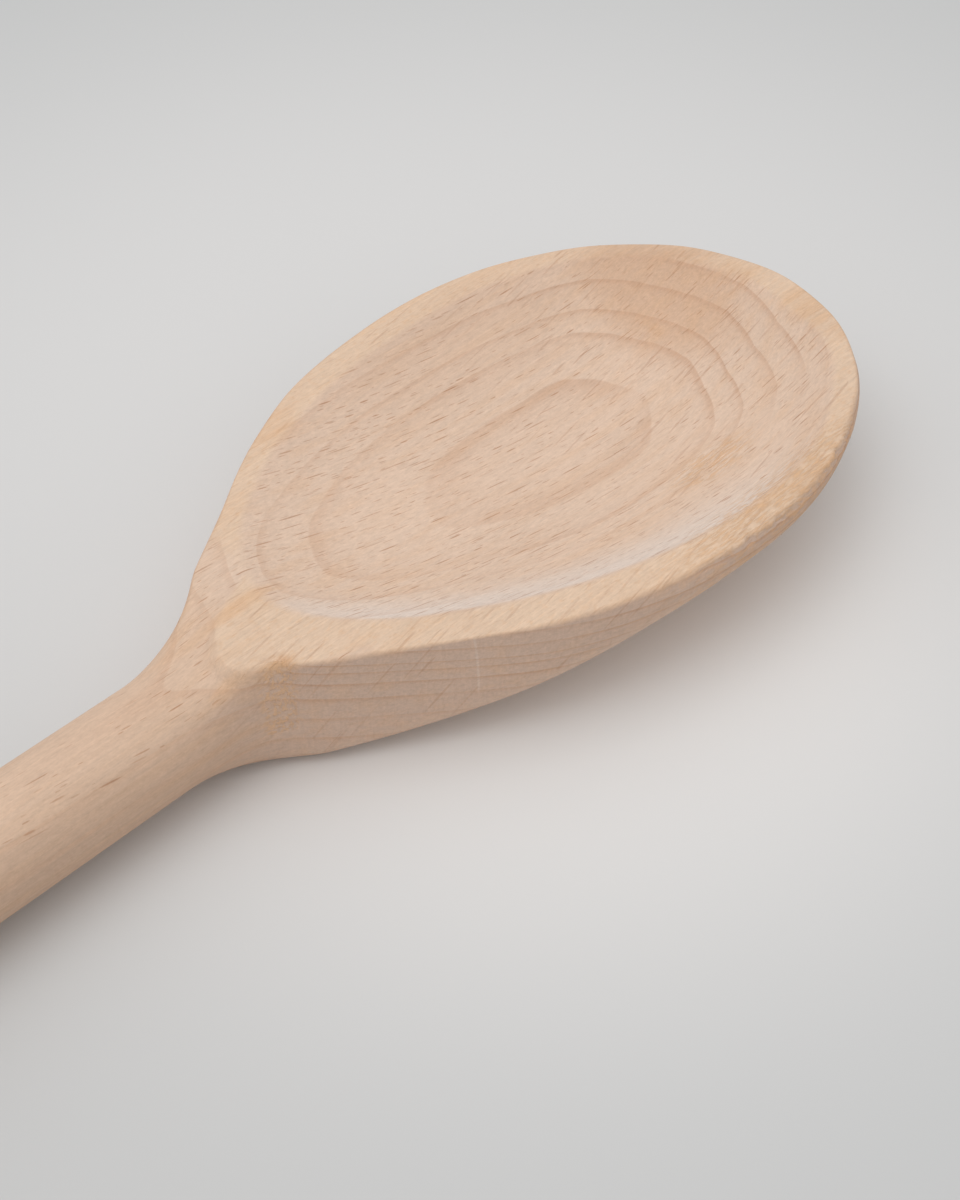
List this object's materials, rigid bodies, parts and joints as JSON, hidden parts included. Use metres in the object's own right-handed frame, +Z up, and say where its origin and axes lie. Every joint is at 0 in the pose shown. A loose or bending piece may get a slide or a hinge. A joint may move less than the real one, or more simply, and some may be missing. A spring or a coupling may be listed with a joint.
{
  "type": "wooden spoon",
  "caption": "Cooking spoon turned and milled from one piece of wood: long round handle, oval head with a wide flat rim, a milled hollow and a rounded back.",
  "frame": {"origin": "middle of the overall length and width, on the level that the back rests on", "axes": "+X along the handle towards the tip of the head, +Z up out of the hollow, +Y to the left when looking towards the tip"},
  "size_m": [0.3, 0.0606, 0.0157],
  "materials": {
    "beech": "bare sanded beech, matt, with fine ray flecks"
  },
  "bodies": {
    "root": {"spoon": "beech"}
  },
  "joints": []
}
